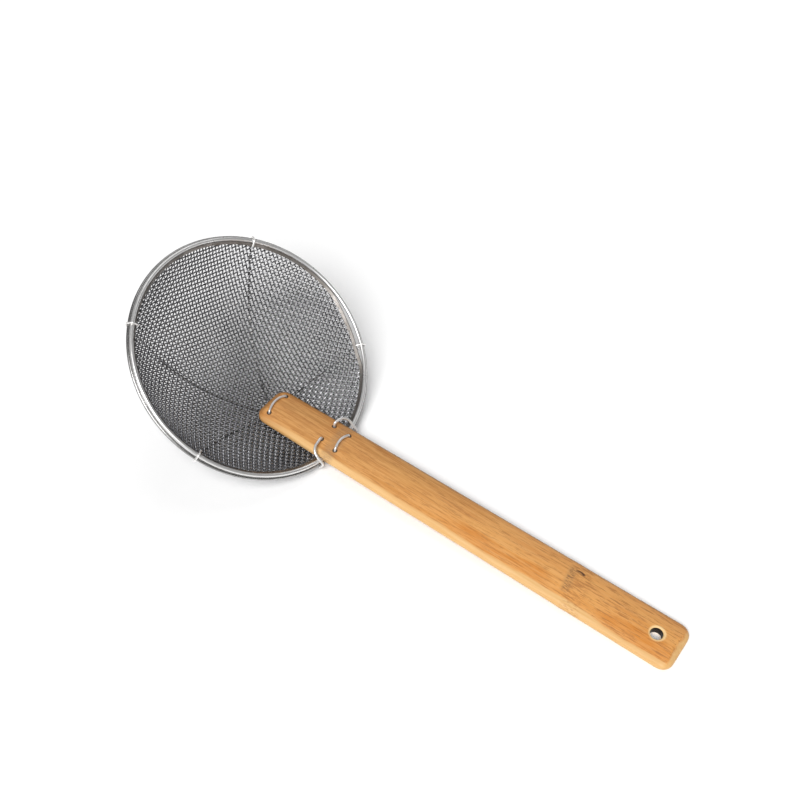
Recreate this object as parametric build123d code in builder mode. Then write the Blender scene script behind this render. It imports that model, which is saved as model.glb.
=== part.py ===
from build123d import *
import os
from math import acos, asin, atan2, cos, degrees, hypot, pi, radians, sin, sqrt, tan

# Rim: two round wires side by side, the outer one set lower
rim_diameter = 200.0
upper_wire = 3.2
lower_wire = 2.6
ring_stagger = 45.0

# Bowl: woven wire dish, as deep as this below the upper ring's middle; a thinner skin carries its shape
bowl_depth = 44.0
weave_thickness = 0.9
skin_thickness = 0.5

# The skin is open in a plain grid, in place of the weave's own meshes
grid_across = 11
grid_bar = 2.4
grid_border = 1.6

# Folded strip that binds the mesh edge
strip_sheet = 0.4
strip_width = 2.6
strip_web = 0.7
strip_nest_share = 0.3

# Handle: a split bamboo slat, flat below and crowned above
tip_reach = 68.8
tail_reach = 300.0
tip_width = 34.6
rim_width = 36.9
tail_width = 40.4
slat_thickness = 8.2
side_height = 3.6
bevel_width = 3.4
bevel_rise = 2.8
crown_half = 15.0
crown_rise = 2.2
tip_corner = 8.5
tail_corner = 9.0
edge_round = 0.6
seat_depth = 1.2
tip_clear = 0.35

# Hanging hole near the tail
hang_diameter = 9.0
hang_chamfer = 1.0
hang_inset = 20.0

# Support wires below the mesh, hooked over the rim at four places
support_wire = 1.5
crossing_shift = -2.2
crossing_y = -3.0
left_azimuth = -141.8
right_azimuth = 57.0
near_azimuth = -73.3
far_azimuth = 134.1
left_bow = 4.0
right_bow = 2.6
near_bow = -4.3
far_bow = 0.6
long_arm_corners = 4
short_arm_corners = 3
leave_length = 15.0
hook_tail = 4.1
hook_wrap = 80.0
crossing_radius = 6.0
leave_radius = 20.0
crossing_lift = 0.7
wall_bend_share = 0.7
hook_bend_share = 0.9

# Tie wire over the tip, with its ends clinched below the crossing
tip_tie_wire = 1.8
tip_tie_inset = 9.5
tip_tie_half = 10.6
tip_tie_bow = 2.6
tip_tie_lean = 3.6
clinch_overlap = 4.0
tie_bend = 1.6

# Loops at the rim and the staple behind it
loop_wire = 2.1
loop_inset = 10.2
near_loop_side = 6.7
far_loop_side = 9.7
near_loop_arch = 1.6
far_loop_arch = 3.4
loop_outset = 2.0
loop_bend = 2.4
loop_sweep = 8.0
rear_staple_back = 4.7
rear_staple_half = 9.1
rear_staple_bow = 2.0
rear_staple_lean = 2.4
rear_clinch = 6.5

# Wires that bow over the slat are bent to this share of their half width
bow_radius_share = 1.7

# Clearances and overruns
fit_gap = 0.05
wire_gap = 0.25
hole_gap = 0.3
cut_overrun = 5.0

# Ring places, seen in a plane through the bowl's axis
lower_ring_radius = rim_diameter / 2 - lower_wire / 2
ring_spacing = (upper_wire + lower_wire) / 2
upper_ring_radius = lower_ring_radius - ring_spacing * cos(radians(ring_stagger))
lower_ring_drop = ring_spacing * sin(radians(ring_stagger))

# The weave's middle surface is a cap of this sphere and meets the upper ring's middle
sphere_radius = (upper_ring_radius**2 + bowl_depth**2) / (2 * bowl_depth)
sphere_height = sphere_radius - bowl_depth
rim_slope = degrees(asin(upper_ring_radius / sphere_radius))
weave_half = weave_thickness / 2
skin_half = skin_thickness / 2
pocket_half = weave_half + fit_gap
lip_half = pocket_half + strip_sheet


def arc_angle(length):
    """The angle at the sphere's middle that a length along the wall takes."""
    return degrees(length / sphere_radius)


# The handle's underside passes over the upper ring, and the tip's corners come down to the mesh
underside_lift = upper_wire / 2 - seat_depth
tip_distance = hypot(tip_reach, underside_lift)
wall_distance = sqrt((sphere_radius - weave_half - tip_clear) ** 2 - (tip_width / 2) ** 2)
tip_cosine = (sphere_radius**2 + tip_distance**2 - wall_distance**2) / (2 * sphere_radius * tip_distance)
tip_heading = atan2(sphere_height, -upper_ring_radius) + acos(tip_cosine)
rise = tip_heading - pi + atan2(underside_lift, tip_reach)


def handle_point(along, aside, up):
    """A point of the handle in the rim's own frame: along and up from the underside over the ring."""
    height = underside_lift + up
    x = upper_ring_radius + along * cos(rise) - height * sin(rise)
    z = along * sin(rise) + height * cos(rise)
    return (x, aside, z)


# The slat's top is part of a large cylinder
crown_radius = (crown_half**2 + crown_rise**2) / (2 * crown_rise)
blank_half = tail_width / 2 + cut_overrun


def crown_up(aside):
    """Height of the crown over the underside, this far from the middle line."""
    return slat_thickness - crown_radius + sqrt(crown_radius**2 - aside**2)


def leg_up(along, aside, depth):
    """How high a leg square to the handle is where it has come a depth through the mesh."""
    x, y, z = handle_point(along, aside, 0)
    toward = -x * sin(rise) + (z - sphere_height) * cos(rise)
    beyond = x**2 + y**2 + (z - sphere_height) ** 2 - (sphere_radius + depth) ** 2
    return -toward - sqrt(toward**2 - beyond)


def below_mesh(x, y, depth):
    """A point that lies a depth outside the mesh's middle surface, over a place in the rim's plan."""
    r = hypot(x, y)
    scale = (sphere_radius + depth) / sphere_radius
    return (x * scale, y * scale, sphere_height - sqrt(sphere_radius**2 - r**2) * scale)


# The tip's tie runs below both support wires, which cross under it, its two ends side by side
tie_along = -(tip_reach - tip_tie_inset)
crossing_x = handle_point(tie_along, 0, leg_up(tie_along, 0, weave_half))[0] + crossing_shift
crossing_stack = weave_half + 2 * support_wire + crossing_lift + 3 * wire_gap + tip_tie_wire
tie_depth = crossing_stack - tip_tie_wire / 2
tie_side = tip_tie_wire / 2 + fit_gap
tie_start = below_mesh(crossing_x - tie_side, crossing_y + clinch_overlap, tie_depth)
tie_end = below_mesh(crossing_x + 2 * tie_side, crossing_y + 2 * clinch_overlap, tie_depth)

# The part lies on that tie's end and on the underside of the tail
foot_x, foot_y, foot_z = tie_end
tail_x, tail_y, tail_z = handle_point(tail_reach, 0, 0)
foot_to_tail = hypot(tail_x - foot_x, tail_z - foot_z)
rest_tilt = atan2(tail_z - foot_z, tail_x - foot_x) + asin(tip_tie_wire / 2 / foot_to_tail)

# Place the rim so that the box around the part stands centred on the origin
rim_height = foot_x * sin(rest_tilt) - foot_z * cos(rest_tilt) + tip_tie_wire / 2
far_side = lower_ring_radius * cos(rest_tilt) + lower_ring_drop * sin(rest_tilt) + lower_wire / 2
tail_side = tail_x * cos(rest_tilt) + tail_z * sin(rest_tilt) + side_height * sin(rest_tilt - rise)
rim_shift = (far_side - tail_side) / 2
rim_axis = (sin(rest_tilt), 0, cos(rest_tilt))
rim_plane = Plane(origin=(rim_shift, 0, rim_height), x_dir=(cos(rest_tilt), 0, -sin(rest_tilt)), z_dir=rim_axis)
radial_plane = Plane(origin=rim_plane.origin, x_dir=rim_plane.x_dir, z_dir=rim_plane.y_dir * -1)
bowl_axis = Axis(rim_plane.origin, rim_plane.z_dir)


def placed(point):
    """A point of the rim's own frame, where the part lies."""
    return rim_plane.from_local_coords(Vector(*point))


def on_hook(azimuth, r, z):
    """A point of a hook, in the plane through the bowl's axis at that azimuth."""
    return (r * cos(radians(azimuth)), r * sin(radians(azimuth)), z)


# Hook outline round both rings and over the strip
lower_clear = (lower_wire + support_wire) / 2 + fit_gap
upper_clear = (upper_wire + support_wire) / 2 + fit_gap
outer_r = lower_ring_radius + lower_clear
shoulder_z = (upper_clear - (outer_r - upper_ring_radius) * cos(radians(ring_stagger))) / sin(radians(ring_stagger))
crown_from = ring_stagger
crown_to = ring_stagger + hook_wrap
crown_mid = radians((crown_from + crown_to) / 2)
crown_reach = upper_clear / cos(radians((crown_to - crown_from) / 2))
crown_r = upper_ring_radius + crown_reach * cos(crown_mid)
crown_z = crown_reach * sin(crown_mid)
end_turn = radians(crown_to)
end_r = upper_ring_radius + upper_clear * cos(end_turn) - hook_tail * sin(end_turn)
end_z = upper_clear * sin(end_turn) + hook_tail * cos(end_turn)
support_depth = weave_half + support_wire / 2 + wire_gap


def turn_between(first, second):
    """The angle that two points take at the sphere's middle."""
    middle = Vector(0, 0, sphere_height)
    return (Vector(*first) - middle).get_angle(Vector(*second) - middle)


def support_arm(azimuth, bow, steps):
    """Corners of one arm from beside the crossing to the hook's end, with a radius for each but the last."""
    run_x = upper_ring_radius * cos(radians(azimuth)) - crossing_x
    run_y = upper_ring_radius * sin(radians(azimuth)) - crossing_y
    run = hypot(run_x, run_y)
    reach = 1 - leave_length * cos(radians(rim_slope)) / run
    middles = [below_mesh(crossing_x, crossing_y, 0)]
    for index in range(1, steps + 1):
        share = reach * index / steps
        side = bow * 4 * share * (1 - share)
        x = crossing_x + run_x * share - run_y / run * side
        y = crossing_y + run_y * share + run_x / run * side
        middles.append(below_mesh(x, y, 0))
    turns = [turn_between(middles[index], middles[index + 1]) for index in range(steps)]
    corners = []
    radii = []
    for index in range(1, steps + 1):
        widest = max(turns[index - 1 : index + 1])
        swell = (1 / cos(radians(widest / 2)) - 1) * (sphere_radius + support_depth)
        corners.append(below_mesh(middles[index][0], middles[index][1], support_depth + swell))
        radii.append(sphere_radius * wall_bend_share if index < steps else leave_radius)
    leave_x, leave_y, leave_z = corners[-1]
    leave_r = hypot(leave_x, leave_y)
    to_ring = hypot(lower_ring_radius - leave_r, -lower_ring_drop - leave_z)
    slant = atan2(-lower_ring_drop - leave_z, lower_ring_radius - leave_r) - asin(lower_clear / to_ring)
    corners.append(on_hook(azimuth, outer_r, leave_z + (outer_r - leave_r) * tan(slant)))
    corners.append(on_hook(azimuth, outer_r, shoulder_z))
    corners.append(on_hook(azimuth, crown_r, crown_z))
    corners.append(on_hook(azimuth, end_r, end_z))
    radii += [lower_clear * hook_bend_share, lower_clear * hook_bend_share, upper_clear * hook_bend_share]
    return corners, radii


def support_path(first, second, crossing_depth):
    """Corners and radii of a whole support wire, from hook end to hook end through the crossing."""
    first_corners, first_radii = first
    second_corners, second_radii = second
    middle = below_mesh(crossing_x, crossing_y, crossing_depth + crossing_lift)
    corners = first_corners[::-1] + [middle] + second_corners
    radii = first_radii[::-1] + [crossing_radius] + second_radii
    return [placed(corner) for corner in corners], radii


# Angles along the wall, counted from the upper ring's middle towards the bowl's bottom
strip_start = arc_angle(upper_wire * strip_nest_share)
strip_stop = arc_angle(upper_wire / 2 + strip_width)
pocket_start = arc_angle(upper_wire / 2 + strip_web)
mesh_start = arc_angle(upper_wire / 2 + strip_web + fit_gap)
sphere_middle = (0, sphere_height)
rim_angle = rim_slope - 90

# Openings of the grid, as places in the rim's plan: within the strip, and none under the slat
grid_radius = sphere_radius * sin(radians(rim_slope - strip_stop)) - grid_border
grid_pitch = 2 * grid_radius / grid_across
slat_from = handle_point(-tip_reach, 0, 0)[0]
grid_places = []
for column in range(grid_across):
    for row in range(grid_across):
        grid_x = (column - (grid_across - 1) / 2) * grid_pitch
        grid_y = (row - (grid_across - 1) / 2) * grid_pitch
        under_slat = grid_x > slat_from and abs(grid_y) < rim_width / 2
        if hypot(grid_x, grid_y) < grid_radius and not under_slat:
            grid_places.append((grid_x, grid_y))

# The handle's own frame: along the slat, and up from its underside
slat_pitch = rise - rest_tilt
handle_frame = Plane(
    origin=placed(handle_point(0, 0, 0)),
    x_dir=(cos(slat_pitch), 0, sin(slat_pitch)),
    z_dir=(-sin(slat_pitch), 0, cos(slat_pitch)),
)
handle_axis = Axis(handle_frame.origin, handle_frame.x_dir)
hang_along = tail_reach - hang_inset
hang_top = Plane(
    origin=handle_frame.from_local_coords(Vector(hang_along, 0, slat_thickness)),
    x_dir=handle_frame.x_dir,
    z_dir=handle_frame.z_dir,
)
hang_bottom = Plane(
    origin=handle_frame.from_local_coords(Vector(hang_along, 0, 0)),
    x_dir=handle_frame.x_dir,
    z_dir=handle_frame.z_dir * -1,
)
leg_places = [(tie_along, -tip_tie_half), (tie_along, tip_tie_half)]
loop_places = [(-loop_inset, -near_loop_side), (-loop_inset, far_loop_side)]
staple_places = [(rear_staple_back, -rear_staple_half), (rear_staple_back, rear_staple_half)]

# Woven bowl, drawn as a thin skin of its true shape with the grid cut through
with BuildPart() as bowl_mesh:
    with BuildSketch(radial_plane):
        with BuildLine():
            outer = CenterArc(sphere_middle, sphere_radius + skin_half, -90, rim_slope - mesh_start)
            inner = CenterArc(sphere_middle, sphere_radius - skin_half, -90, rim_slope - mesh_start)
            Line(outer @ 0, inner @ 0)
            Line(outer @ 1, inner @ 1)
        make_face()
    revolve(axis=bowl_axis)
    with BuildSketch(rim_plane):
        with Locations(*grid_places):
            Rectangle(grid_pitch - grid_bar, grid_pitch - grid_bar)
        Circle(grid_radius, mode=Mode.INTERSECT)
    extrude(amount=-bowl_depth - cut_overrun, mode=Mode.SUBTRACT)
    with BuildSketch(handle_frame):
        with Locations(*leg_places):
            Circle(tip_tie_wire / 2 + hole_gap)
        with Locations(*loop_places):
            Circle(loop_wire / 2 + hole_gap)
    extrude(amount=-bowl_depth, mode=Mode.SUBTRACT)

bowl_mesh.part.label = "bowl_mesh"
os.makedirs("parts", exist_ok=True)
export_step(bowl_mesh.part, "parts/bowl_mesh.step")

# Folded strip, shut against the upper ring and open towards the mesh
with BuildPart() as binding_strip:
    with BuildSketch(radial_plane):
        with BuildLine():
            outer = CenterArc(sphere_middle, sphere_radius + lip_half, rim_angle - strip_stop, strip_stop - strip_start)
            inner = CenterArc(sphere_middle, sphere_radius - lip_half, rim_angle - strip_stop, strip_stop - strip_start)
            Line(outer @ 0, inner @ 0)
            Line(outer @ 1, inner @ 1)
        make_face()
        with BuildLine():
            outer = CenterArc(sphere_middle, sphere_radius + pocket_half, -90, rim_slope - pocket_start)
            inner = CenterArc(sphere_middle, sphere_radius - pocket_half, -90, rim_slope - pocket_start)
            Line(outer @ 0, inner @ 0)
            Line(outer @ 1, inner @ 1)
        make_face(mode=Mode.SUBTRACT)
        with Locations((upper_ring_radius, 0)):
            Circle(upper_wire / 2 + wire_gap, mode=Mode.SUBTRACT)
    revolve(axis=bowl_axis)

binding_strip.part.label = "binding_strip"
export_step(binding_strip.part, "parts/binding_strip.step")

# The two rim rings
with BuildPart(rim_plane) as upper_ring:
    Torus(upper_ring_radius, upper_wire / 2)

upper_ring.part.label = "upper_ring"
export_step(upper_ring.part, "parts/upper_ring.step")

with BuildPart(rim_plane.offset(-lower_ring_drop)) as lower_ring:
    Torus(lower_ring_radius, lower_wire / 2)

lower_ring.part.label = "lower_ring"
export_step(lower_ring.part, "parts/lower_ring.step")

# Support wires: one from left to right, one from near to far below it
side_path, side_radii = support_path(
    support_arm(left_azimuth, left_bow, long_arm_corners),
    support_arm(right_azimuth, right_bow, short_arm_corners),
    support_depth,
)
with BuildPart() as support_wire_side:
    with BuildLine() as route:
        FilletPolyline(*side_path, radius=side_radii)
    with BuildSketch(Plane(origin=route.wire() @ 0, z_dir=route.wire() % 0)):
        Circle(support_wire / 2)
    sweep(path=route.wire())

support_wire_side.part.label = "support_wire_side"
export_step(support_wire_side.part, "parts/support_wire_side.step")

cross_path, cross_radii = support_path(
    support_arm(near_azimuth, near_bow, short_arm_corners),
    support_arm(far_azimuth, far_bow, long_arm_corners),
    support_depth + support_wire + wire_gap,
)
with BuildPart() as support_wire_cross:
    with BuildLine() as route:
        FilletPolyline(*cross_path, radius=cross_radii)
    with BuildSketch(Plane(origin=route.wire() @ 0, z_dir=route.wire() % 0)):
        Circle(support_wire / 2)
    sweep(path=route.wire())

support_wire_cross.part.label = "support_wire_cross"
export_step(support_wire_cross.part, "parts/support_wire_cross.step")

# Bamboo handle: crowned bar, trimmed to the slat's outline and bevelled all round the top
section_plane = Plane(
    origin=handle_frame.from_local_coords(Vector(-tip_reach, 0, 0)),
    x_dir=handle_frame.y_dir,
    z_dir=handle_frame.x_dir,
)
with BuildPart() as slat_trim:
    with BuildSketch(handle_frame) as slat_plan:
        with BuildLine():
            Polyline(
                (-tip_reach, -tip_width / 2),
                (0, -rim_width / 2),
                (tail_reach, -tail_width / 2),
                (tail_reach, tail_width / 2),
                (0, rim_width / 2),
                (-tip_reach, tip_width / 2),
                close=True,
            )
        make_face()
        ends = slat_plan.vertices().sort_by(handle_axis)
        fillet(ends[:2], tip_corner)
        ends = slat_plan.vertices().sort_by(handle_axis)
        fillet(ends[-2:], tail_corner)
    extrude(amount=side_height)
    bevel_base = slat_trim.faces().sort_by(Axis(handle_frame.origin, handle_frame.z_dir))[-1]
    extrude(bevel_base, amount=slat_thickness - side_height, taper=degrees(atan2(bevel_width, bevel_rise)))

with BuildPart() as seat_cut:
    with BuildSketch(radial_plane):
        for half, stop in ((lip_half, strip_stop), (weave_half, rim_slope)):
            with BuildLine():
                outer = CenterArc(sphere_middle, sphere_radius + half + fit_gap, rim_angle - stop, stop - strip_start)
                inner = CenterArc(sphere_middle, sphere_radius - half - fit_gap, rim_angle - stop, stop - strip_start)
                Line(outer @ 0, inner @ 0)
                Line(outer @ 1, inner @ 1)
            make_face()
    revolve(axis=bowl_axis)

with BuildPart() as handle:
    with BuildSketch(section_plane):
        with BuildLine():
            crown = ThreePointArc(
                (-blank_half, crown_up(blank_half)), (0, slat_thickness), (blank_half, crown_up(blank_half))
            )
            Polyline(crown @ 0, (-blank_half, 0), (blank_half, 0), crown @ 1)
        make_face()
    extrude(amount=tip_reach + tail_reach)
    add(slat_trim.part, mode=Mode.INTERSECT)
    underside = handle.faces().sort_by(Axis(handle_frame.origin, handle_frame.z_dir))[0]
    fillet(underside.edges(), edge_round)
    # Groove across the underside where ring and strip bed in, and a seat where the tip bears on the mesh
    with Locations(rim_plane):
        Torus(upper_ring_radius, upper_wire / 2 + fit_gap, mode=Mode.SUBTRACT)
    add(seat_cut.part, mode=Mode.SUBTRACT)
    # Wire holes, square to the slat
    with BuildSketch(handle_frame.offset(-cut_overrun)):
        with Locations(*leg_places):
            Circle(tip_tie_wire / 2 + hole_gap)
        with Locations(*loop_places, *staple_places):
            Circle(loop_wire / 2 + hole_gap)
    extrude(amount=slat_thickness + 2 * cut_overrun, mode=Mode.SUBTRACT)
    # Hanging hole, eased at both mouths
    with Locations(hang_top):
        CounterSinkHole(hang_diameter / 2, hang_diameter / 2 + hang_chamfer)
    with Locations(hang_bottom):
        CounterSinkHole(hang_diameter / 2, hang_diameter / 2 + hang_chamfer)

handle.part.label = "handle"
export_step(handle.part, "parts/handle.step")

# Tie wire over the tip: down through slat and mesh, clinched side by side below the crossing
tie_top = crown_up(tip_tie_half) + tip_tie_wire / 2
tie_foot = leg_up(tie_along, tip_tie_half, tie_depth)
tie_route = [
    tie_start,
    handle_point(tie_along, -tip_tie_half, tie_foot),
    handle_point(tie_along, -tip_tie_half, tie_top),
    handle_point(tie_along - tip_tie_lean, 0, slat_thickness + tip_tie_wire / 2 + tip_tie_bow),
    handle_point(tie_along, tip_tie_half, tie_top),
    handle_point(tie_along, tip_tie_half, tie_foot),
    tie_end,
]
with BuildPart() as tip_tie:
    with BuildLine() as route:
        FilletPolyline(
            *[placed(corner) for corner in tie_route],
            radius=[tie_bend, tie_bend, tip_tie_half * bow_radius_share, tie_bend, tie_bend],
        )
    with BuildSketch(Plane(origin=route.wire() @ 0, z_dir=route.wire() % 0)):
        Circle(tip_tie_wire / 2)
    sweep(path=route.wire())

tip_tie.part.label = "tip_tie"
export_step(tip_tie.part, "parts/tip_tie.step")


def loop_route(sign, side, arch):
    """Corners of a rim loop: up through mesh and slat, over the edge, down round both rings and back in."""
    leg_foot = leg_up(-loop_inset, side, weave_half + loop_wire)
    edge_y = rim_width / 2 + loop_wire / 2 + loop_outset
    ring_x = sqrt(lower_ring_radius**2 - edge_y**2)
    beyond = ring_x + lower_wire / 2 + loop_wire / 2 + wire_gap
    above = (upper_wire + loop_wire) / 2 + wire_gap
    below = lower_ring_drop + lower_wire / 2 + loop_wire / 2 + wire_gap
    foot_x, foot_y, foot_z = handle_point(-loop_inset, side, leg_foot)
    back_x, back_y, back_z = below_mesh(foot_x + loop_wire, foot_y + loop_wire, weave_half + loop_wire)
    return [
        handle_point(-loop_inset, sign * side, leg_foot),
        handle_point(-loop_inset, sign * side, crown_up(side) + loop_wire / 2 + arch),
        handle_point(-loop_inset + loop_wire, sign * edge_y, crown_up(crown_half) + loop_wire + arch),
        (beyond, sign * edge_y, above),
        (beyond, sign * edge_y, -below),
        (back_x, sign * back_y, back_z),
    ]


loop_radii = [loop_bend, loop_sweep, (upper_wire + loop_wire) / 2 + wire_gap, loop_bend]
with BuildPart() as near_rim_loop:
    with BuildLine() as route:
        FilletPolyline(*[placed(corner) for corner in loop_route(-1, near_loop_side, near_loop_arch)], radius=loop_radii)
    with BuildSketch(Plane(origin=route.wire() @ 0, z_dir=route.wire() % 0)):
        Circle(loop_wire / 2)
    sweep(path=route.wire())

near_rim_loop.part.label = "near_rim_loop"
export_step(near_rim_loop.part, "parts/near_rim_loop.step")

with BuildPart() as far_rim_loop:
    with BuildLine() as route:
        FilletPolyline(*[placed(corner) for corner in loop_route(1, far_loop_side, far_loop_arch)], radius=loop_radii)
    with BuildSketch(Plane(origin=route.wire() @ 0, z_dir=route.wire() % 0)):
        Circle(loop_wire / 2)
    sweep(path=route.wire())

far_rim_loop.part.label = "far_rim_loop"
export_step(far_rim_loop.part, "parts/far_rim_loop.step")

# Staple behind the rim, its ends clinched inwards below the rings
staple_ring_x = sqrt(lower_ring_radius**2 - rear_staple_half**2)
staple_drop = lower_ring_drop + lower_wire / 2 + loop_wire / 2 + wire_gap
staple_foot = (-lower_ring_drop - rear_staple_back * sin(rise)) / cos(rise) - underside_lift
staple_under = (staple_ring_x + loop_wire / 2, -staple_drop)
staple_end = (
    staple_under[0] - rear_clinch * cos(radians(rim_slope)),
    staple_under[1] - rear_clinch * sin(radians(rim_slope)),
)
staple_top = crown_up(rear_staple_half) + loop_wire / 2
staple_half = []
for sign in (-1, 1):
    staple_half.append(
        [
            (staple_end[0], sign * rear_staple_half, staple_end[1]),
            (staple_under[0], sign * rear_staple_half, staple_under[1]),
            handle_point(rear_staple_back, sign * rear_staple_half, staple_foot),
            handle_point(rear_staple_back, sign * rear_staple_half, staple_top),
        ]
    )
staple_peak = slat_thickness + loop_wire / 2 + rear_staple_bow
staple_middle = handle_point(rear_staple_back - rear_staple_lean, 0, staple_peak)
staple_route = staple_half[0] + [staple_middle] + staple_half[1][::-1]
leg_radii = [loop_bend / 2, loop_bend / 2, loop_bend]
with BuildPart() as rear_staple:
    with BuildLine() as route:
        FilletPolyline(
            *[placed(corner) for corner in staple_route],
            radius=leg_radii + [rear_staple_half * bow_radius_share] + leg_radii[::-1],
        )
    with BuildSketch(Plane(origin=route.wire() @ 0, z_dir=route.wire() % 0)):
        Circle(loop_wire / 2)
    sweep(path=route.wire())

rear_staple.part.label = "rear_staple"
export_step(rear_staple.part, "parts/rear_staple.step")
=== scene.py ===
# %% [markdown]
# # A spider skimmer with a woven bowl and a bamboo handle
#
# A spider skimmer lifts food out of hot oil. It is a shallow bowl of woven steel wire in a rim of two
# round wires. Two thinner wires cross below the bowl and hook over the rim, and a flat bamboo slat is tied
# on with short bent wires.
#
# The solids come from a CAD model. This script keeps the ones whose shape is already right, such as the
# rings, and gives them a finish. It makes the weave, the bound edge and the bamboo anew, because a CAD
# solid can only hold their outer form. All lengths are in metres.

# %% Load the frame
from math import asin, atan2, cos, degrees, exp, hypot, pi, radians, sin, sqrt

import bpy
from mathutils import Matrix, Vector, noise


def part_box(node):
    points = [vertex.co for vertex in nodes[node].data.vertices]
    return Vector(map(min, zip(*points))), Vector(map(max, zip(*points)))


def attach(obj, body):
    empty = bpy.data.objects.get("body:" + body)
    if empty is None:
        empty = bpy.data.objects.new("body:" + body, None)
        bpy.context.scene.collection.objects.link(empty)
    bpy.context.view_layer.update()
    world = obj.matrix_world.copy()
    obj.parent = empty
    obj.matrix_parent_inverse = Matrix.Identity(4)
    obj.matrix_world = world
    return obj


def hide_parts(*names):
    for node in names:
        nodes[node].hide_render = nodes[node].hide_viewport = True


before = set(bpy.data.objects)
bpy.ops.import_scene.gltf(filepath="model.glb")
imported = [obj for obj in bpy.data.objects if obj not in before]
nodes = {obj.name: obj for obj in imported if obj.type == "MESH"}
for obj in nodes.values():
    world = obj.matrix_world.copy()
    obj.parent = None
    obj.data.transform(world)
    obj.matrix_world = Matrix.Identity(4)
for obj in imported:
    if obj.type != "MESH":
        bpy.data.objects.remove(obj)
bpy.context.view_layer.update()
print("solids in the frame:", sorted(nodes))

# %% [markdown]
# ## Finding the bowl and the handle in space
#
# The skimmer lies on a table, so neither the rim nor the handle is level. Every piece is easier to shape
# in a frame of its own: one that sits in the rim, and one that runs along the handle. The rim's can be
# read off its solid, because the box of a tilted ring has a length and a height that tell the tilt. The
# handle's start and slope are the CAD model's own numbers.
#
# The bowl is a piece of a sphere. Its depth and the rim's radius give the sphere's radius.

# %% The rim's frame
UPPER_WIRE = 0.0032
BOWL_DEPTH = 0.044

ring_low, ring_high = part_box("upper_ring")
ring_size = ring_high - ring_low
RIM_MIDDLE = (ring_low + ring_high) / 2
RIM_TILT = atan2(ring_size.z - UPPER_WIRE, ring_size.x - UPPER_WIRE)
RIM_RADIUS = (ring_size.y - UPPER_WIRE) / 2
BOWL_RADIUS = (RIM_RADIUS**2 + BOWL_DEPTH**2) / (2 * BOWL_DEPTH)
BOWL_HEIGHT = BOWL_RADIUS - BOWL_DEPTH
RIM_ANGLE = asin(RIM_RADIUS / BOWL_RADIUS)
rim_matrix = Matrix.Translation(RIM_MIDDLE) @ Matrix.Rotation(RIM_TILT, 4, "Y")
print(f"rim tilt {degrees(RIM_TILT):.2f} degrees, bowl radius {BOWL_RADIUS * 1000:.1f} mm")

# %% The handle's frame
HANDLE_START = Vector((-0.0674954, 0.0, 0.0088051))
HANDLE_SLOPE = radians(1.682)
handle_matrix = Matrix.Translation(HANDLE_START) @ Matrix.Rotation(HANDLE_SLOPE, 4, "Y")
print(f"the handle falls by {degrees(HANDLE_SLOPE):.2f} degrees towards its tail")

# %% [markdown]
# ## Small helpers
#
# Blender's operators act on whatever is selected, and a fresh object is selected all over. So each step
# starts from nothing selected. A soft step is handy wherever a shape begins or ends gently.


# %% Selecting, reporting and a soft step
def pick(piece):
    """Select one object alone and make it active."""
    for other in bpy.context.selected_objects:
        other.select_set(False)
    piece.hide_viewport = False
    piece.select_set(True)
    bpy.context.view_layer.objects.active = piece


def report(piece):
    """Print a piece's name and how many faces it has."""
    print(f"{piece.name}: {len(piece.data.polygons)} faces")


def smooth_step(low, high, value):
    """0 below low, 1 above high, and a soft S between them."""
    share = min(1.0, max(0.0, (value - low) / (high - low)))
    return share * share * (3 - 2 * share)


# %% [markdown]
# Two of the new pieces start from a solid: the bound edge and the bamboo slat. A solid's mesh is loose
# triangles with normals of their own, so a copy of it is merged and forgets those normals before it is
# shaped. The solid itself is never changed.


# %% A copy of a solid to work on
def copy_of(node, name):
    """A copy of a solid as a piece of its own, with its loose corners merged."""
    piece = nodes[node].copy()
    piece.data = nodes[node].data.copy()
    piece.name = name
    piece.data.name = name
    piece.parent = None
    for key in list(piece.keys()):
        del piece[key]
    bpy.context.scene.collection.objects.link(piece)
    piece.matrix_world = Matrix.Identity(4)
    pick(piece)
    bpy.ops.object.mode_set(mode="EDIT")
    bpy.ops.mesh.select_all(action="SELECT")
    bpy.ops.mesh.remove_doubles(threshold=0.00001)
    bpy.ops.object.mode_set(mode="OBJECT")
    bpy.ops.mesh.customdata_custom_splitnormals_clear()
    return piece


# %% [markdown]
# A material is a tree of nodes, and a node group is a small tree with named inputs and outputs that more
# than one material can use. Three helpers make both shorter to write: an empty group, one node with its
# settings, and the node that maps one range of values onto another.


# %% Building node trees
def new_group(name, inputs, outputs):
    """An empty shader node group, with its entry and result nodes."""
    group = bpy.data.node_groups.new(name, "ShaderNodeTree")
    for label, kind, default in inputs:
        socket = group.interface.new_socket(label, in_out="INPUT", socket_type=kind)
        socket.default_value = default
    for label, kind in outputs:
        group.interface.new_socket(label, in_out="OUTPUT", socket_type=kind)
    return group, group.nodes.new("NodeGroupInput"), group.nodes.new("NodeGroupOutput")


def add_node(tree, kind, **settings):
    """A node with its settings made: plain names are properties, i0, i1 and so on are input values."""
    node = tree.nodes.new(kind)
    for name, value in settings.items():
        if name[0] == "i" and name[1:].isdigit():
            node.inputs[int(name[1:])].default_value = value
        else:
            setattr(node, name, value)
    return node


def remap(tree, socket, low, high, to_low=0.0, to_high=1.0):
    """A clamped map of one range onto another."""
    node = add_node(tree, "ShaderNodeMapRange", i1=low, i2=high, i3=to_low, i4=to_high)
    tree.links.new(socket, node.inputs["Value"])
    return node.outputs["Result"]


# %% [markdown]
# ## The finish of steel wire
#
# Drawn wire is bright, but not a mirror. Its surface carries faint marks along its length and a thin,
# uneven haze from heat and washing. One node group makes that haze and those marks from noise, and each
# steel in the scene uses it with its own amounts. The group only gives a colour, a roughness and a height:
# the shader stays in the material, where an export can read it.

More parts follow.
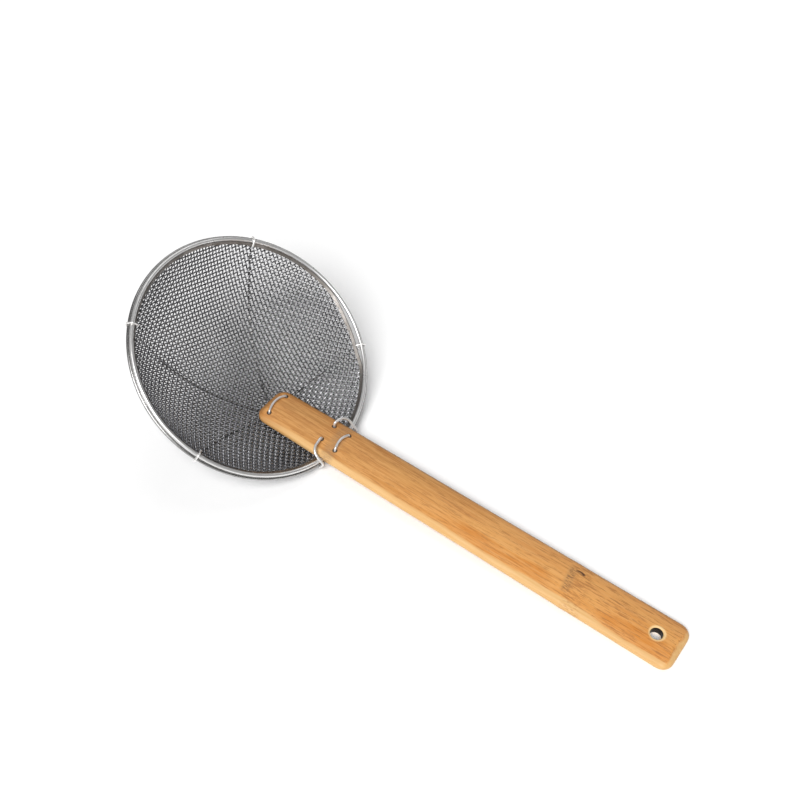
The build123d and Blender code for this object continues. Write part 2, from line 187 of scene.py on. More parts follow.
# %% A node group for hazy steel
steel_group, entry, result = new_group(
    "hazy steel",
    [
        ("Bright", "NodeSocketColor", (0.6, 0.6, 0.6, 1)),
        ("Dull", "NodeSocketColor", (0.4, 0.4, 0.4, 1)),
        ("Smooth", "NodeSocketFloat", 0.2),
        ("Rough", "NodeSocketFloat", 0.4),
        ("Scale", "NodeSocketFloat", 60.0),
    ],
    [("Color", "NodeSocketColor"), ("Roughness", "NodeSocketFloat"), ("Height", "NodeSocketFloat")],
)
where = add_node(steel_group, "ShaderNodeTexCoord")
haze = add_node(steel_group, "ShaderNodeTexNoise", i3=4.0, i4=0.6)
fine = add_node(steel_group, "ShaderNodeTexNoise", i2=2600.0, i3=2.0)
tint = add_node(steel_group, "ShaderNodeMix", data_type="RGBA")
rough = add_node(steel_group, "ShaderNodeMapRange", i1=0.0, i2=1.0)
link = steel_group.links.new
link(where.outputs["Object"], haze.inputs["Vector"])
link(where.outputs["Object"], fine.inputs["Vector"])
link(entry.outputs["Scale"], haze.inputs["Scale"])
hazy = remap(steel_group, haze.outputs["Fac"], 0.35, 0.7)
link(hazy, tint.inputs["Factor"])
link(entry.outputs["Bright"], tint.inputs["A"])
link(entry.outputs["Dull"], tint.inputs["B"])
link(hazy, rough.inputs["Value"])
link(entry.outputs["Smooth"], rough.inputs["To Min"])
link(entry.outputs["Rough"], rough.inputs["To Max"])
link(tint.outputs["Result"], result.inputs["Color"])
link(rough.outputs["Result"], result.inputs["Roughness"])
link(fine.outputs["Fac"], result.inputs["Height"])
print("node group:", steel_group.name)

# %% [markdown]
# Seven steels use the group. The upper ring is painted bright as a painted highlight, and the ties are
# pale partly as wire of their own and partly as a painted highlight. The lower ring is painted darker as
# painted shade beside it, the supports and the weave are darker, and the rolled strip is the dullest. The
# straight wires of the weave are painted lighter than the crimped ones, as painted highlight lines along
# the rows. A polished metal shows mostly what it reflects, and in a plain studio that is one lamp and a
# grey sky. Where the wire should look bright all round, Metallic is therefore set a little below 1, so
# that some of its own pale colour shows, a broad painted highlight.

# %% Steel materials that use the group
MARK_DEPTH = 0.0001


def steel(name, bright, dull, smooth, rough_value, scale, bump, metallic):
    """A metal finish built on the hazy steel group."""
    material = bpy.data.materials.new(name)
    material.use_nodes = True
    tree = material.node_tree
    shader = tree.nodes["Principled BSDF"]
    shader.inputs["Metallic"].default_value = metallic
    group = add_node(tree, "ShaderNodeGroup", node_tree=steel_group)
    group.inputs["Bright"].default_value = (*bright, 1)
    group.inputs["Dull"].default_value = (*dull, 1)
    group.inputs["Smooth"].default_value = smooth
    group.inputs["Rough"].default_value = rough_value
    group.inputs["Scale"].default_value = scale
    bumps = add_node(tree, "ShaderNodeBump")
    bumps.inputs["Strength"].default_value = bump
    bumps.inputs["Distance"].default_value = MARK_DEPTH
    tree.links.new(group.outputs["Color"], shader.inputs["Base Color"])
    tree.links.new(group.outputs["Roughness"], shader.inputs["Roughness"])
    tree.links.new(group.outputs["Height"], bumps.inputs["Height"])
    tree.links.new(bumps.outputs["Normal"], shader.inputs["Normal"])
    return material


# Each row: bright and dull colour, least and most roughness, haze scale, bump strength, Metallic
TIE_BRIGHT = (0.92, 0.905, 0.89)
STEELS = {
    # Painted highlight: the upper ring's pale colour and Metallic below 1 stand in for a broad bright
    # band.
    "upper rim wire with painted highlight": ((0.90, 0.895, 0.89), (0.72, 0.71, 0.70), 0.26, 0.38, 45.0, 0.03, 0.78),
    # Painted shade: the lower ring is the same steel, painted darker.
    "lower rim wire with painted shade": ((0.46, 0.455, 0.45), (0.32, 0.315, 0.31), 0.22, 0.34, 60.0, 0.05, 1.0),
    # The ties' pale colour is partly a paler wire and partly a painted highlight.
    "tie wire": (TIE_BRIGHT, (0.66, 0.645, 0.63), 0.26, 0.38, 160.0, 0.10, 0.6),
    "support wire": ((0.44, 0.43, 0.42), (0.30, 0.29, 0.28), 0.24, 0.34, 120.0, 0.10, 1.0),
    # Painted highlight: the straight wires are painted lighter than the crimped ones, though both are one
    # steel.
    "straight woven wire with painted highlight": ((0.38, 0.38, 0.39), (0.26, 0.26, 0.27), 0.20, 0.30, 25.0, 0.0, 1.0),
    "crimped woven wire": ((0.20, 0.20, 0.21), (0.12, 0.12, 0.13), 0.20, 0.30, 25.0, 0.0, 1.0),
    "binding strip": ((0.30, 0.28, 0.265), (0.17, 0.155, 0.14), 0.36, 0.50, 90.0, 0.5, 1.0),
}
steels = {name: steel(name, *amounts) for name, amounts in STEELS.items()}
print("steels:", list(steels))

# %% [markdown]
# The support wires have two looks in one piece. Their hooks stand up over the rim in the light and get the
# ties' pale colour as painted light; their arms below the bowl keep a darker steel as painted shade. The
# height above the rim tells the two apart. Their hooks stand up over the rim, where hands and cloths
# rub them bright, and their arms below the bowl stay dull. The height above the rim tells the two apart.
# A Mapping node turns the object's coordinates into the rim's frame, so that this height is its Z.

# %% Painted light on the hooks of the support wires
HOOK_FROM, HOOK_FULL = -0.0050, -0.0025

tree = steels["support wire"].node_tree
link = tree.links.new
shader = tree.nodes["Principled BSDF"]
where = add_node(tree, "ShaderNodeTexCoord")
level = add_node(tree, "ShaderNodeMapping", vector_type="TEXTURE")
level.inputs["Location"].default_value = RIM_MIDDLE
level.inputs["Rotation"].default_value = (0, RIM_TILT, 0)
height = add_node(tree, "ShaderNodeSeparateXYZ")
link(where.outputs["Object"], level.inputs["Vector"])
link(level.outputs["Vector"], height.inputs["Vector"])
hook = remap(tree, height.outputs["Z"], HOOK_FROM, HOOK_FULL)
# Painted light above the rim: the ties' pale colour and lower Metallic; below it, painted shade of darker
# steel.
paint = add_node(tree, "ShaderNodeMix", data_type="RGBA")
link(hook, paint.inputs["Factor"])
link(shader.inputs["Base Color"].links[0].from_socket, paint.inputs["A"])
paint.inputs["B"].default_value = (*TIE_BRIGHT, 1)
link(paint.outputs["Result"], shader.inputs["Base Color"])
link(remap(tree, hook, 0.0, 1.0, 1.0, STEELS["tie wire"][-1]), shader.inputs["Metallic"])
print(f"dull below {HOOK_FROM * 1000:.1f} mm in the rim's frame, bright above {HOOK_FULL * 1000:.1f} mm")

# %% [markdown]
# The rings, the support wires, the ties and the staple are round wires of even thickness. Their solids are
# already as fine as the real thing, so they only get their steel.

# %% Dress the solids that stay
DRESSED = {
    "upper_ring": "upper rim wire with painted highlight",
    "lower_ring": "lower rim wire with painted shade",
    "support_wire_side": "support wire",
    "support_wire_cross": "support wire",
    "tip_tie": "tie wire",
    "near_rim_loop": "tie wire",
    "far_rim_loop": "tie wire",
    "rear_staple": "tie wire",
}
for node, finish in DRESSED.items():
    nodes[node].data.materials.clear()
    nodes[node].data.materials.append(steels[finish])
print(len(DRESSED), "solids dressed")

# %% [markdown]
# ## Weaving the bowl
#
# The bowl is a plain weave: each wire goes over one crossing wire and under the next. Flat woven mesh is
# pressed into a dish, so the wires stay about as far apart as before, measured along the surface. A point
# of the flat mesh is therefore carried onto the sphere with its distance from the middle kept as arc
# length. Over a short stretch of the rim the edge has come away from the ring, and the mesh there is drawn
# inwards with it.

# %% A point of the weave
WEAVE_TURN = radians(73.5)
GAP = 0.0030
GAP_OPENS, GAP_CLOSES = (44, 56), (70, 90)
GAP_REACH = (0.070, 0.093)


def pulled_in(x, y):
    """A place of the bowl's plan, drawn inwards where the bound edge has come away from the ring."""
    around = degrees(atan2(y, x))
    reach = hypot(x, y)
    gap = GAP * smooth_step(*GAP_OPENS, around) * (1 - smooth_step(*GAP_CLOSES, around))
    share = 1 - gap * smooth_step(*GAP_REACH, reach) / max(reach, 0.001)
    return x * share, y * share


def on_bowl(u, v, lift):
    """The point of the dish that a place of the flat mesh goes to, lifted inwards."""
    turn = hypot(u, v) / BOWL_RADIUS
    around = atan2(v, u) + WEAVE_TURN
    radius = BOWL_RADIUS - lift
    x, y = pulled_in(radius * sin(turn) * cos(around), radius * sin(turn) * sin(around))
    return rim_matrix @ Vector((x, y, BOWL_HEIGHT - radius * cos(turn)))


print("the middle of the bowl lies at", [round(value, 4) for value in on_bowl(0, 0, 0)])

# %% [markdown]
# A picture of a weave on a smooth sheet would be lighter, but nothing could be seen through it, and its
# edge would look like foil. So each wire is really there, as one run of a curve object. A curve with a
# round bevel is the natural tool for a wire: only the middle line has to be worked out, and its thickness
# is one number. The wire rises and falls as a cosine whose crests sit on the crossings. In real mesh one
# set of wires stays nearly straight and the other is crimped more over it, and near the rim the strip
# presses both flatter.

# %% Weave one set of wires
WEAVE_PITCH = 0.0031
WEAVE_WIRE = 0.00125
STRAIGHT_SHARE = 0.3
WEAVE_EDGE = BOWL_RADIUS * RIM_ANGLE - 0.0027
PRESSED_FROM = WEAVE_EDGE - 0.0050
PRESSED_WITHIN = 0.002
PRESSED_SHARE = 0.45
STEP = WEAVE_PITCH / 4


def run_wire(wire, row, steps, along_first):
    """Lay the points of one wire over the dish."""
    side = row * WEAVE_PITCH
    crimp = WEAVE_WIRE * (STRAIGHT_SHARE if along_first else 1 - STRAIGHT_SHARE)
    for index in range(2 * steps + 1):
        run = (index - steps) * STEP
        pressed = smooth_step(PRESSED_FROM, PRESSED_FROM + PRESSED_WITHIN, hypot(run, side))
        crest = cos(pi * run / WEAVE_PITCH) * (1 if row % 2 == 0 else -1)
        lift = (1 - PRESSED_SHARE * pressed) * crest * crimp
        place_at = on_bowl(run, side, lift) if along_first else on_bowl(side, run, -lift)
        wire.points[index].co = (*place_at, 1)


def weave(name, finish, along_first):
    """All wires of one direction, as one curve with a round bevel, turned into a mesh."""
    curve = bpy.data.curves.new(name, "CURVE")
    curve.dimensions = "3D"
    curve.bevel_depth = WEAVE_WIRE / 2
    curve.bevel_resolution = 1
    curve.use_fill_caps = True
    count = int(WEAVE_EDGE / WEAVE_PITCH)
    for row in range(-count, count + 1):
        steps = int(sqrt(max(0.0, WEAVE_EDGE**2 - (row * WEAVE_PITCH) ** 2)) / STEP)
        if steps < 4:
            continue
        wire = curve.splines.new("POLY")
        wire.points.add(2 * steps)
        run_wire(wire, row, steps, along_first)
    print(f"{name}: {len(curve.splines)} wires")
    piece = bpy.data.objects.new(name, curve)
    bpy.context.scene.collection.objects.link(piece)
    pick(piece)
    bpy.ops.object.convert(target="MESH")
    piece = bpy.context.object
    bpy.ops.object.shade_smooth()
    piece.data.materials.append(finish)
    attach(piece, "root")
    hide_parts("bowl_mesh")
    report(piece)


weave("bowl_warp", steels["straight woven wire with painted highlight"], True)
weave("bowl_weft", steels["crimped woven wire"], False)

# %% [markdown]
# ## The bound edge
#
# The cut edge of the mesh is sharp, so a thin steel strip is folded over it all the way round. Its solid
# is a perfect ring. The real one has been knocked a few millimetres away from the rim on one side, which
# leaves a gap that can be seen through. It could be made anew by spinning the fold's outline round the
# rim, but the solid already is that, so a copy of it is bent. Moving its vertices by the same rule as the
# wires keeps the strip on the mesh.

# %% The bound edge of the mesh, bent with it
bound_edge = copy_of("binding_strip", "bound_edge")
bound_edge.data.transform(rim_matrix.inverted())
for vertex in bound_edge.data.vertices:
    vertex.co.x, vertex.co.y = pulled_in(vertex.co.x, vertex.co.y)
bound_edge.data.transform(rim_matrix)
bpy.ops.object.shade_smooth_by_angle(angle=radians(35))
bound_edge.data.materials.clear()
bound_edge.data.materials.append(steels["binding strip"])
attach(bound_edge, "root")
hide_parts("binding_strip")
report(bound_edge)

# %% [markdown]
# ## The bamboo slat
#
# The handle is a strip split from a thick bamboo cane: its back is the flat inside, and its crown is the
# cane's outer face, sanded. Every edge has been rounded by hand. The solid has the right outline but sharp
# edges. A bevel would round them one by one, and would find only long thin faces to work on. Remeshing a
# copy in small cubes and then smoothing it rounds every edge a little, as sanding does, and it leaves an
# even net of faces that can carry the small swellings at the cane's nodes.

# %% The slat's even net of faces
slat = copy_of("handle", "bamboo_slat")
slat.data.transform(handle_matrix.inverted())
slat.data.remesh_voxel_size = 0.00065
slat.data.use_remesh_fix_poles = False
bpy.ops.object.voxel_remesh()
report(slat)

# %% [markdown]
# A solid's round faces come as long flats. The crown is a known arc and the bevel round it a known slope,
# so each vertex of the top can be put back on them. Only the rims of the holes are left as they are. The
# sizes are the slat's own, measured from the place where it crosses the rim: x runs to the tail, and y
# across.

# %% The slat's sizes
TIP_END, TAIL_END = -0.0688, 0.300
TIP_CORNER, TAIL_CORNER = 0.0085, 0.0090
RIM_HALF, TIP_NARROWS, TAIL_WIDENS = 0.01845, 0.00115, 0.00175
SLAT_TOP, SIDE_HEIGHT = 0.0082, 0.0036
BEVEL_WIDTH, BEVEL_RISE = 0.0034, 0.0028
CROWN_RADIUS = 0.0522
HANG_HOLE = (0.280, 0.0)
WIRE_HOLES = [
    (-0.0593, -0.0106), (-0.0593, 0.0106),
    (-0.0102, -0.0067), (-0.0102, 0.0097),
    (0.0047, -0.0091), (0.0047, 0.0091),
]


def half_width(x):
    """Half the slat's width at this place along it."""
    return RIM_HALF + x * (TAIL_WIDENS / TAIL_END if x > 0 else TIP_NARROWS / -TIP_END)


def to_edge(x, y):
    """How far inside the slat's outline a place lies, round its corners too."""
    side = half_width(x) - abs(y)
    end, corner = (TAIL_END - x, TAIL_CORNER) if x > 0 else (x - TIP_END, TIP_CORNER)
    if side < corner and end < corner:
        return corner - hypot(corner - side, corner - end)
    return min(side, end)


def near_hole(x, y):
    """Whether a place lies on the rim of the hanging hole or of a wire hole."""
    if hypot(x - HANG_HOLE[0], y) < 0.0062:
        return True
    return min(hypot(x - hole[0], y - hole[1]) for hole in WIRE_HOLES) < 0.0020


print(f"the slat is {2000 * half_width(TIP_END):.1f} to {2000 * half_width(TAIL_END):.1f} mm wide")

# %% Put the crown and its bevel back on their true surfaces
worst = 0.0
faces_up = [vertex.normal.z > 0.3 for vertex in slat.data.vertices]
for vertex, upward in zip(slat.data.vertices, faces_up):
    x, y, z = vertex.co
    if z < SIDE_HEIGHT + 0.0001 or not upward or near_hole(x, y):
        continue
    crown = SLAT_TOP - CROWN_RADIUS + sqrt(CROWN_RADIUS**2 - y**2)
    bevel = SIDE_HEIGHT + max(0.0, to_edge(x, y)) * BEVEL_RISE / BEVEL_WIDTH
    target = min(crown, bevel)
    worst = max(worst, abs(target - z))
    vertex.co.z = target
print(f"the furthest vertex moved by {worst * 1000:.2f} mm")

# %% [markdown]
# Now the sanding: a Smooth modifier moves each vertex towards the middle of its neighbours, a dozen times
# over. It hardly moves the middle of a face, and takes the sharpness off each edge and hole.

# %% Sand the edges round
pick(slat)
soften = slat.modifiers.new("soften", "SMOOTH")
soften.factor = 0.5
soften.iterations = 12
bpy.ops.object.modifier_apply(modifier="soften")
report(slat)

# %% [markdown]
# A cane has a node every hand's length or so, where it was closed inside. On a sanded slat a node is a low
# swelling right across, with a fine groove along its middle. This slat has one near its tail, slanted a
# little, and a fainter one where it crosses the rim. A bell curve gives the swelling, 0.3 mm high at
# most, and a narrower one taken from it the groove. A slow noise makes the rest of the top a little
# uneven. A bump in the material could do it too, but then the outline would stay straight.

# %% Swellings at the two nodes
NODE_AT, NODE_SLANT = 0.2095, -0.16
RIM_NODE_AT, RIM_NODE_SLANT = 0.0006, -0.08
SWELLING, SWELLING_WIDTH = 0.00030, 0.0042
GROOVE, GROOVE_WIDTH = 0.00016, 0.0010
UNEVEN = 0.00006


def node_swelling(x, y):
    """How far the surface stands out at a place because of the two nodes."""
    swell = 0.0
    for middle, slant, size in ((NODE_AT, NODE_SLANT, 1.0), (RIM_NODE_AT, RIM_NODE_SLANT, 0.6)):
        off = x - (middle + slant * y)
        swell += size * SWELLING * exp(-((off / SWELLING_WIDTH) ** 2))
        swell -= size * GROOVE * exp(-((off / GROOVE_WIDTH) ** 2))
    return swell


for vertex in slat.data.vertices:
    x, y, z = vertex.co
    top_share = smooth_step(0.0030, 0.0055, z)
    swell = node_swelling(x, y)
    vertex.co.z += top_share * (swell + UNEVEN * noise.noise(Vector((x * 18, y * 60, 0.3))))
    vertex.co.y += (1 - top_share) * (swell if y > 0 else -swell) * smooth_step(0.012, 0.017, abs(y))
slat.data.transform(handle_matrix)
slat.data.update()
bpy.ops.object.shade_smooth()
print(f"the tail's node stands out by {node_swelling(NODE_AT + SWELLING_WIDTH / 2, 0) * 1000:.2f} mm")

# %% [markdown]
# ## The finish of bamboo
#
# Bamboo is bundles of dark fibres in paler pith, all running one way. Seen from the outer face they are
# fine streaks and short dashes, and the colour drifts slowly between them. Noise whose coordinates are
# squeezed much more across the slat than along it gives all of these: streaks, fibres and patches differ
# only in how far they are squeezed.

# %% A node group for bamboo
bamboo_group, entry, result = new_group(
    "bamboo grain",
    [("Vector", "NodeSocketVector", (0, 0, 0))],
    [
        ("Streak", "NodeSocketFloat"),
        ("Fibre", "NodeSocketFloat"),
        ("Patch", "NodeSocketFloat"),
        ("Height", "NodeSocketFloat"),
    ],
)
link = bamboo_group.links.new


def stretched_noise(tree, vector, scale, detail, roughness):
    """Noise stretched along the slat: scale gives how often it changes along x, y and z per metre."""
    squeeze = add_node(tree, "ShaderNodeVectorMath", operation="MULTIPLY")
    squeeze.inputs[1].default_value = scale
    grain = add_node(tree, "ShaderNodeTexNoise", i2=1.0, i3=detail, i4=roughness)
    tree.links.new(vector, squeeze.inputs[0])
    tree.links.new(squeeze.outputs["Vector"], grain.inputs["Vector"])
    return grain.outputs["Fac"]


# Each row: output, squeeze, detail and roughness of its noise, and the range that becomes 0 to 1
GRAINS = [
    ("Streak", (22, 480, 480), 4.0, 0.65, 0.40, 0.60),
    ("Fibre", (70, 800, 800), 4.0, 0.7, 0.51, 0.62),
    ("Patch", (20, 110, 110), 4.0, 0.6, 0.38, 0.64),
    ("Height", (60, 1300, 1300), 3.0, 0.6, 0.0, 1.0),
]
for label, scale, detail, roughness, low, high in GRAINS:
    grain = stretched_noise(bamboo_group, entry.outputs["Vector"], scale, detail, roughness)
    link(remap(bamboo_group, grain, low, high), result.inputs[label])
print("node group:", bamboo_group.name)

# %% [markdown]
# The slat's colours follow its own length and width, so the material first turns the object's coordinates
# into the handle's frame. Its x, y and z are then plain distances, as they were for the mesh.

# %% Start the bamboo material
bamboo = bpy.data.materials.new("sanded bamboo")
bamboo.use_nodes = True
tree = bamboo.node_tree
shader = tree.nodes["Principled BSDF"]
shader.inputs["Specular IOR Level"].default_value = 0.3
link = tree.links.new
where = add_node(tree, "ShaderNodeTexCoord")
local = add_node(tree, "ShaderNodeMapping", vector_type="TEXTURE")
local.inputs["Location"].default_value = HANDLE_START
local.inputs["Rotation"].default_value = (0, HANDLE_SLOPE, 0)
link(where.outputs["Object"], local.inputs["Vector"])
grain = add_node(tree, "ShaderNodeGroup", node_tree=bamboo_group)
link(local.outputs["Vector"], grain.inputs["Vector"])
parts = add_node(tree, "ShaderNodeSeparateXYZ")
link(local.outputs["Vector"], parts.inputs["Vector"])
x, y, z = parts.outputs
streak, fibre, patch = (grain.outputs[label] for label in ("Streak", "Fibre", "Patch"))
print("material:", bamboo.name)

# %% [markdown]
# Painting with nodes is layer upon layer: each layer is a colour and a mask that says where it shows. The
# masks are sums, products, bands and spots of the three distances, so a few helpers make them readable.


# %% Masks and layers
def math_node(operation, first, second=None):
    """One arithmetic step on sockets or numbers."""
    node = add_node(tree, "ShaderNodeMath", operation=operation)
    for index, value in enumerate((first, second)):
        if value is None:
            continue
        if isinstance(value, (int, float)):
            node.inputs[index].default_value = value
        else:
            link(value, node.inputs[index])
    return node.outputs[0]


def times(*factors):
    """The product of sockets and numbers."""
    product = factors[0]
    for factor in factors[1:]:
        product = math_node("MULTIPLY", product, factor)
    return product


def blend_color(factor, first, second):
    """first where the factor is 0, second where it is 1; each is a socket or an rgb colour."""
    node = add_node(tree, "ShaderNodeMix", data_type="RGBA")
    link(factor, node.inputs["Factor"])
    for label, value in (("A", first), ("B", second)):
        if isinstance(value, tuple):
            node.inputs[label].default_value = (*value, 1)
        else:
            link(value, node.inputs[label])
    return node.outputs["Result"]


def band(socket, middle, half, soft):
    """1 near a middle value and 0 beyond its half width, with a soft edge."""
    off = math_node("ABSOLUTE", math_node("SUBTRACT", socket, middle))
    return remap(tree, off, half + soft, half)


def spot(center, radius, soft, stretch=1.0):
    """1 inside a round or stretched spot of the slat's plan, and 0 outside."""
    offset = add_node(tree, "ShaderNodeVectorMath", operation="SUBTRACT")
    flat = add_node(tree, "ShaderNodeVectorMath", operation="MULTIPLY")
    flat.inputs[1].default_value = (1 / stretch, 1, 0)
    length = add_node(tree, "ShaderNodeVectorMath", operation="LENGTH")
    link(local.outputs["Vector"], offset.inputs[0])
    offset.inputs[1].default_value = (*center, 0)
    link(offset.outputs["Vector"], flat.inputs[0])
    link(flat.outputs["Vector"], length.inputs[0])
    return remap(tree, length.outputs["Value"], radius + soft, radius)


# %% [markdown]
# The face is honey brown at the tip and paler towards the tail, and duller along its far side. Along the
# near side runs an orange band, where the skin of the cane was left a little thicker. The patches, pale
# streaks and dark fibres come on top of that.

# %% The face
face = blend_color(remap(tree, x, -0.050, 0.150), (0.420, 0.190, 0.054), (0.730, 0.350, 0.096))
far_face = blend_color(remap(tree, x, 0.060, 0.170), (0.420, 0.190, 0.055), (0.720, 0.335, 0.105))
wavy = math_node("ADD", y, times(math_node("SUBTRACT", patch, 0.5), 0.006))
face = blend_color(remap(tree, wavy, 0.000, 0.016), face, far_face)

orange = times(band(wavy, -0.0110, 0.0030, 0.0035), remap(tree, x, 0.060, 0.130), 0.85)
orange = times(orange, remap(tree, band(x, 0.2180, 0.0170, 0.0120), 0.0, 1.0, 1.0, 0.15))
orange = math_node("MAXIMUM", orange, times(spot((0.2680, -0.0060), 0.0060, 0.0060, 3.0), 0.55))
face = blend_color(orange, face, (0.580, 0.195, 0.020))

face = blend_color(times(patch, 0.45), face, (0.560, 0.225, 0.055))
face = blend_color(times(streak, 0.45), face, (0.800, 0.440, 0.160))
dark_fibre = times(fibre, remap(tree, x, 0.195, 0.215, 0.55, 0.75))
face = blend_color(dark_fibre, face, (0.350, 0.135, 0.038))
print("face layers:", len(tree.nodes), "nodes so far")

# %% [markdown]
# The edges were cut and sanded after the face had darkened. At the near side and the tail the fresh cut is
# pale, and there the paleness is also painted light on the bevels that face the lamp. The far edge is
# painted darker brown as painted shade where it turns from the light, and the tip is dark from oil and
# handling. The width of the cut wanders a little, which the slow patches give.

# %% The cut edges
side_at = remap(tree, x, 0.0, TAIL_END, RIM_HALF, RIM_HALF + TAIL_WIDENS)
from_near = math_node("ADD", y, side_at)
from_far = math_node("SUBTRACT", side_at, y)
from_tail = math_node("SUBTRACT", TAIL_END, x)
from_tip = math_node("SUBTRACT", x, TIP_END)

uneven = times(math_node("SUBTRACT", patch, 0.5), 0.0018)
widened = math_node("SUBTRACT", uneven, times(band(x, 0.2100, 0.0200, 0.0180), 0.0013))
from_near = math_node("ADD", from_near, widened)
# The pale near and tail edges are the fresh cut and partly painted light on the bevels facing the lamp.
pale_near = times(remap(tree, from_near, 0.0046, 0.0030), remap(tree, x, -0.066, -0.030, 0.20, 1.0))
pale_tail = remap(tree, math_node("ADD", from_tail, uneven), 0.0042, 0.0026)
pale = math_node("MAXIMUM", pale_near, pale_tail)
edge_color = blend_color(times(streak, 0.6), (0.730, 0.450, 0.190), (0.660, 0.360, 0.120))
# Painted shade: the far edge is painted darker brown where it turns from the light.
face = blend_color(times(remap(tree, from_far, 0.0030, 0.0012), 0.5), face, (0.380, 0.200, 0.085))
face = blend_color(pale, face, edge_color)
face = blend_color(times(remap(tree, from_tip, 0.0065, 0.0015), 0.45), face, (0.260, 0.110, 0.034))
print("edge layers:", len(tree.nodes), "nodes so far")

# %% [markdown]
# A node of the cane is a grey-brown band of short cross marks, because the fibres part there. Beside the
# tail's node lies a dark bud scar, a crescent where a twig once grew. The crescent is one spot with a
# smaller one taken out of it.

# %% The nodes and the bud scar
tick = remap(tree, stretched_noise(tree, local.outputs["Vector"], (260, 1500, 1500), 2.0, 0.5), 0.46, 0.60)
along_node = math_node("SUBTRACT", math_node("SUBTRACT", x, times(y, NODE_SLANT)), NODE_AT)
marked = band(y, 0.0015, 0.0090, 0.0040)
cross_marks = times(band(along_node, -0.0006, 0.0018, 0.0014), tick, marked, 0.85)
face = blend_color(cross_marks, face, (0.170, 0.075, 0.030))
brown_band = times(band(along_node, -0.0008, 0.0026, 0.0022), marked, 0.30)
face = blend_color(brown_band, face, (0.420, 0.230, 0.090))
past_node = times(band(along_node, 0.0075, 0.0050, 0.0040), tick, 0.50)
face = blend_color(past_node, face, (0.400, 0.160, 0.045))

rim_node = band(math_node("ADD", x, times(y, -RIM_NODE_SLANT)), RIM_NODE_AT, 0.0034, 0.0035)
grey_band = times(rim_node, remap(tree, tick, 0, 1, 0.25, 0.6))
face = blend_color(grey_band, face, (0.300, 0.180, 0.095))

scar = spot((0.2128, 0.0109), 0.0012, 0.0006, 2.4)
taken_out = times(spot((0.2118, 0.0100), 0.0008, 0.0006, 2.4), 0.6)
scar = times(scar, math_node("SUBTRACT", 1.0, taken_out), 0.95)
face = blend_color(scar, face, (0.080, 0.035, 0.020))
print("node layers:", len(tree.nodes), "nodes so far")

# %% [markdown]
# The chamfer round the hanging hole cuts into fresh pale bamboo, and its pale ring is partly a painted
# highlight. The drilled wall is painted near black, painted shade in the bore, and dark spots round the
# small holes, where the wires go in, are painted shade too.

# %% The holes
# The pale ring is the fresh cut chamfer and partly a painted highlight.
face = blend_color(spot((0.2803, 0.0002), 0.0057, 0.0012), face, (0.860, 0.590, 0.280))
# Painted shade: the bore's wall and spots round the wire holes are painted near black.
painted_hole_shade = times(spot(HANG_HOLE, 0.0047, 0.0001), remap(tree, z, 0.0079, 0.0074))
for center in WIRE_HOLES:
    painted_hole_shade = math_node("MAXIMUM", painted_hole_shade, spot(center, 0.0016, 0.0007))
face = blend_color(painted_hole_shade, face, (0.016, 0.010, 0.007))
print("hole layers:", len(tree.nodes), "nodes so far")

# %% [markdown]
# The finished colour goes to the shader. The pale streaks are a little rougher than the rest, and the
# finest noise feeds a Bump node, which makes the light catch on the grain. The grain is too fine to model.

# %% Finish the slat
link(face, shader.inputs["Base Color"])
link(remap(tree, streak, 0.0, 1.0, 0.42, 0.55), shader.inputs["Roughness"])
bumps = add_node(tree, "ShaderNodeBump")
bumps.inputs["Strength"].default_value = 0.30
bumps.inputs["Distance"].default_value = 0.00012
link(grain.outputs["Height"], bumps.inputs["Height"])
link(bumps.outputs["Normal"], shader.inputs["Normal"])
slat.data.materials.clear()
slat.data.materials.append(bamboo)
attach(slat, "root")
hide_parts("handle")
report(slat)

# %% [markdown]
# ## Floor, light and camera
#
# The skimmer lies on a plain white floor. White paper needs no gloss, so the floor's specular is off.

# %% Floor
bpy.ops.mesh.primitive_plane_add(size=8, location=(0, 0, 0))
floor = bpy.context.object
floor.name = "floor"
paper = bpy.data.materials.new("white paper")
paper.use_nodes = True
coat = paper.node_tree.nodes["Principled BSDF"]
coat.inputs["Base Color"].default_value = (1.0, 1.0, 1.0, 1)
coat.inputs["Roughness"].default_value = 0.9
coat.inputs["Specular IOR Level"].default_value = 0.0
floor.data.materials.append(paper)
print("floor:", floor.name)

# %% [markdown]
# A round wire is modelled by the light along one side of it. A broad soft lamp from the front left does
# that, and leaves a soft shadow. A weak one from behind draws a thin bright line along the top of each
# wire, and an even, dim sky fills the shadows. Sun lamps are used, because they light the whole floor
# evenly and so leave no edge of light in the picture.

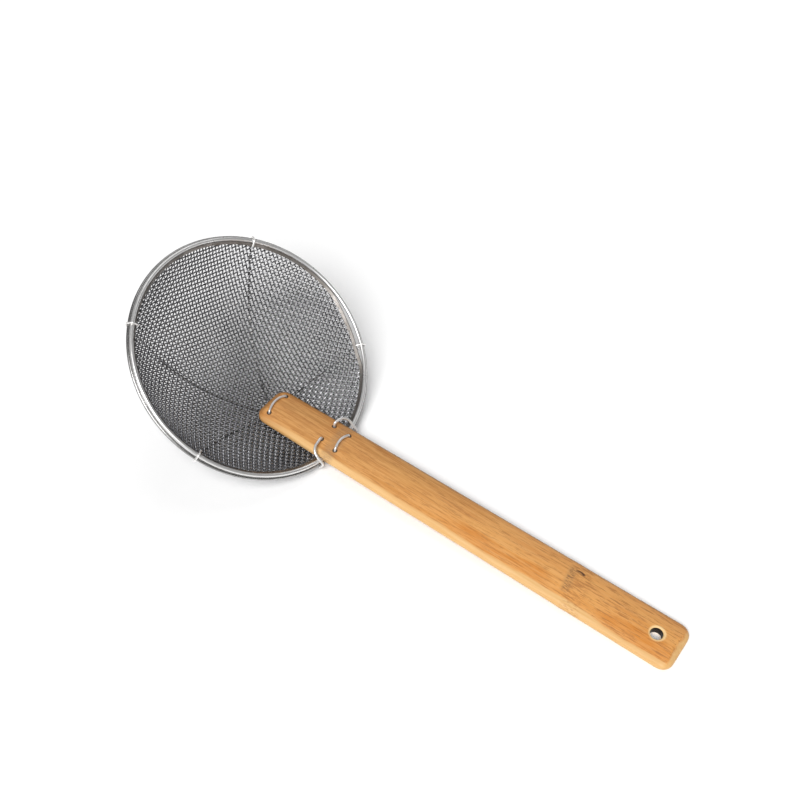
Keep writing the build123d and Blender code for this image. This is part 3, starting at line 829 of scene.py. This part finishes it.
# %% Sky and lamps
world = bpy.data.worlds.new("studio")
bpy.context.scene.world = world
world.use_nodes = True
sky = world.node_tree.nodes["Background"]
sky.inputs["Color"].default_value = (1.0, 1.0, 1.0, 1)
sky.inputs["Strength"].default_value = 0.14


def sun(name, azimuth, elevation, strength, spread):
    """A distant lamp of a soft, round spread that shines from an azimuth and elevation in degrees."""
    lamp_data = bpy.data.lights.new(name, "SUN")
    lamp_data.energy = strength
    lamp_data.angle = radians(spread)
    lamp = bpy.data.objects.new(name, lamp_data)
    bpy.context.scene.collection.objects.link(lamp)
    flat = cos(radians(elevation))
    toward = Vector((flat * cos(radians(azimuth)), flat * sin(radians(azimuth)), sin(radians(elevation))))
    lamp.rotation_euler = toward.to_track_quat("Z", "Y").to_euler()


sun("key", azimuth=-75, elevation=50, strength=3.3, spread=40)
sun("rear", azimuth=110, elevation=58, strength=0.5, spread=42)
print("lamps:", [lamp.name for lamp in bpy.data.lights])

# %% [markdown]
# The camera looks down on the bowl from the near side. Its place and turn are given in the rim's frame, as
# the three directions that lie to the right in the picture, down in it, and into it. Its lens was worked
# out in pixels, and the picture's width turns that into millimetres.

# %% Camera
VIEW_PIXELS = 1184.875
PICTURE_PIXELS = 800
CAMERA_AT = (-0.00794, -0.46609, 0.79818)

camera_data = bpy.data.cameras.new("camera")
camera_data.sensor_width = 36.0
camera_data.lens = camera_data.sensor_width * VIEW_PIXELS / PICTURE_PIXELS
camera_data.clip_start = 0.01
camera = bpy.data.objects.new("camera", camera_data)
bpy.context.scene.collection.objects.link(camera)
to_right = Vector((0.6591, 0.5754, 0.4842))
to_bottom = Vector((0.7426, -0.5996, -0.2983))
forward = Vector((0.1187, 0.5562, -0.8225))
turn = Matrix((to_right, -to_bottom, -forward)).transposed().to_4x4()
camera.matrix_world = rim_matrix @ Matrix.Translation(CAMERA_AT) @ turn
bpy.context.scene.camera = camera
bpy.context.scene.view_settings.view_transform = "Standard"
print(f"lens {camera_data.lens:.1f} mm")
